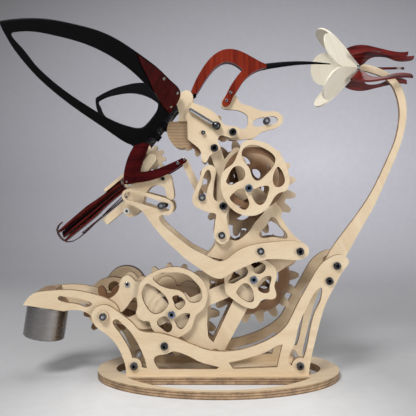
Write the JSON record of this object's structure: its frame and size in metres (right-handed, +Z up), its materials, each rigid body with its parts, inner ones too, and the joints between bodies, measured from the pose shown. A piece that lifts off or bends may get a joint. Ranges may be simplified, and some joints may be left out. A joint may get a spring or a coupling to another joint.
{
  "type": "hand-cranked wooden automaton",
  "caption": "Laser-cut wooden automaton: a crank and gear train under a hummingbird with flapping wings and tail, feeding at a blossom on a curved stem, with a steel counterweight.",
  "frame": {"origin": "centre of the underside of the oval base board", "axes": "+X from the counterweight and tail towards the blossom, +Y away from the viewer across the plate layers, +Z up"},
  "size_m": [0.4818, 0.4592, 0.4334],
  "materials": {
    "birch_ply": "pale birch plywood, fine sanded, laser-charred edges",
    "red_hardwood": "figured red-brown hardwood, satin oil",
    "black_composite": "black satin stained wood",
    "steel": "turned steel",
    "dark_steel": "dark turned steel, fine lathe lines",
    "black_screw": "black oxide screws",
    "cream_ply": "thin pale birch, bare"
  },
  "bodies": {
    "stand": {"base": "birch_ply", "frame_front": "birch_ply", "frame_rear": "birch_ply", "tie_rods": "steel", "tower_front": "birch_ply", "tower_rear": "birch_ply", "spacers": "birch_ply", "pivot_screws": "black_screw", "stem": "birch_ply", "blossom_hub": "steel", "petals": "cream_ply", "sepals": "red_hardwood"},
    "crank": {"crank_shaft": "steel", "crank_pinion": "birch_ply", "crank_wheel": "birch_ply", "knob_pin": "steel"},
    "knob": {"crank_knob": "birch_ply"},
    "left_wheel": {"left_gear": "birch_ply", "left_rosette": "birch_ply", "left_cam": "birch_ply", "left_shaft": "steel"},
    "right_wheel": {"right_gear": "birch_ply", "right_cam": "birch_ply", "right_shaft": "steel"},
    "upper_wheel": {"upper_gear": "birch_ply", "upper_rosette": "birch_ply", "upper_cam_front": "birch_ply", "upper_cam_rear": "birch_ply", "upper_shaft": "steel"},
    "rocker": {"rocker_arm_front": "birch_ply", "rocker_arm_rear": "birch_ply"},
    "elbow": {"elbow_links": "birch_ply"},
    "counterweight": {"counter_arm_front": "birch_ply", "counter_arm_rear": "birch_ply", "counter_head": "birch_ply", "counter_weight": "dark_steel"},
    "bird": {"thorax_plate_front": "birch_ply", "thorax_plate_rear": "birch_ply", "thorax_core": "birch_ply", "thorax_gear": "birch_ply", "wing_posts": "birch_ply", "hinge_rods": "steel", "belly_plate_front": "red_hardwood", "belly_plate_rear": "red_hardwood", "pushrod": "steel", "bird_pins": "black_screw", "tail_frame": "birch_ply", "body_strut": "birch_ply"},
    "head": {"head_plate_front": "red_hardwood", "head_plate_rear": "red_hardwood", "beak": "black_composite", "head_lever": "birch_ply"},
    "near_wing": {"wing_near": "black_composite", "wing_near_cap": "red_hardwood"},
    "far_wing": {"wing_far": "black_composite", "wing_far_cap": "red_hardwood"},
    "tail": {"tail_mount": "birch_ply", "tail_feather_middle": "black_composite"},
    "tail_near": {"tail_feathers_near": "red_hardwood"},
    "tail_far": {"tail_feathers_far": "red_hardwood"}
  },
  "joints": [
    {"name": "crank_turn", "type": "hinge", "parent": "stand", "child": "crank", "pos_m": [-0.138, 0, 0.08], "axis": [0, -1, 0], "continuous": true},
    {"name": "knob_spin", "type": "hinge", "parent": "crank", "child": "knob", "pos_m": [-0.1226, 0.057, 0.1023], "axis": [0, -1, 0], "continuous": true},
    {"name": "left_turn", "type": "hinge", "parent": "stand", "child": "left_wheel", "pos_m": [-0.057, 0, 0.08], "axis": [0, -1, 0], "continuous": true},
    {"name": "right_turn", "type": "hinge", "parent": "stand", "child": "right_wheel", "pos_m": [0.04238, 0, 0.12229], "axis": [0, -1, 0], "continuous": true},
    {"name": "upper_turn", "type": "hinge", "parent": "stand", "child": "upper_wheel", "pos_m": [0.03589, 0, 0.2331], "axis": [0, -1, 0], "continuous": true},
    {"name": "rocker_swing", "type": "hinge", "parent": "stand", "child": "rocker", "pos_m": [0.0973, 0, 0.1574], "axis": [0, 1, 0], "range_deg": [0, 3]},
    {"name": "elbow_swing", "type": "hinge", "parent": "stand", "child": "elbow", "pos_m": [0.0053, 0, 0.2114], "axis": [0, 1, 0], "range_deg": [0, 3]},
    {"name": "counter_swing", "type": "hinge", "parent": "stand", "child": "counterweight", "pos_m": [-0.138, 0, 0.08], "axis": [0, 1, 0], "range_deg": [0, 6]},
    {"name": "body_pitch", "type": "hinge", "parent": "stand", "child": "bird", "pos_m": [-0.0053, 0, 0.2818], "axis": [0, 1, 0], "range_deg": [0, 3]},
    {"name": "head_nod", "type": "hinge", "parent": "bird", "child": "head", "pos_m": [0.017, 0, 0.301], "axis": [0, -1, 0], "range_deg": [0, 4]},
    {"name": "near_flap", "type": "hinge", "parent": "bird", "child": "near_wing", "pos_m": [-0.0414, -0.0167, 0.3431], "axis": [-0.6178, 0, -0.7863], "range_deg": [-15, 10]},
    {"name": "far_flap", "type": "hinge", "parent": "bird", "child": "far_wing", "pos_m": [-0.0414, 0.0167, 0.3431], "axis": [0.6178, 0, 0.7863], "range_deg": [-15, 10]},
    {"name": "tail_swing", "type": "hinge", "parent": "bird", "child": "tail", "pos_m": [-0.106, 0, 0.247], "axis": [0, 1, 0], "range_deg": [0, 6]},
    {"name": "near_spread", "type": "hinge", "parent": "tail", "child": "tail_near", "pos_m": [-0.11679, 0, 0.23808], "axis": [-0.6369, 0, 0.7709], "range_deg": [-6, 6]},
    {"name": "far_spread", "type": "hinge", "parent": "tail", "child": "tail_far", "pos_m": [-0.11679, 0, 0.23808], "axis": [0.6369, 0, -0.7709], "range_deg": [-6, 6]}
  ],
  "couplings": [
    {"joint": "left_turn", "follows": "crank_turn", "ratio": -0.5},
    {"joint": "right_turn", "follows": "crank_turn", "ratio": 0.5},
    {"joint": "upper_turn", "follows": "crank_turn", "ratio": -0.47368},
    {"joint": "far_flap", "follows": "near_flap", "ratio": 1},
    {"joint": "far_spread", "follows": "near_spread", "ratio": 1}
  ]
}
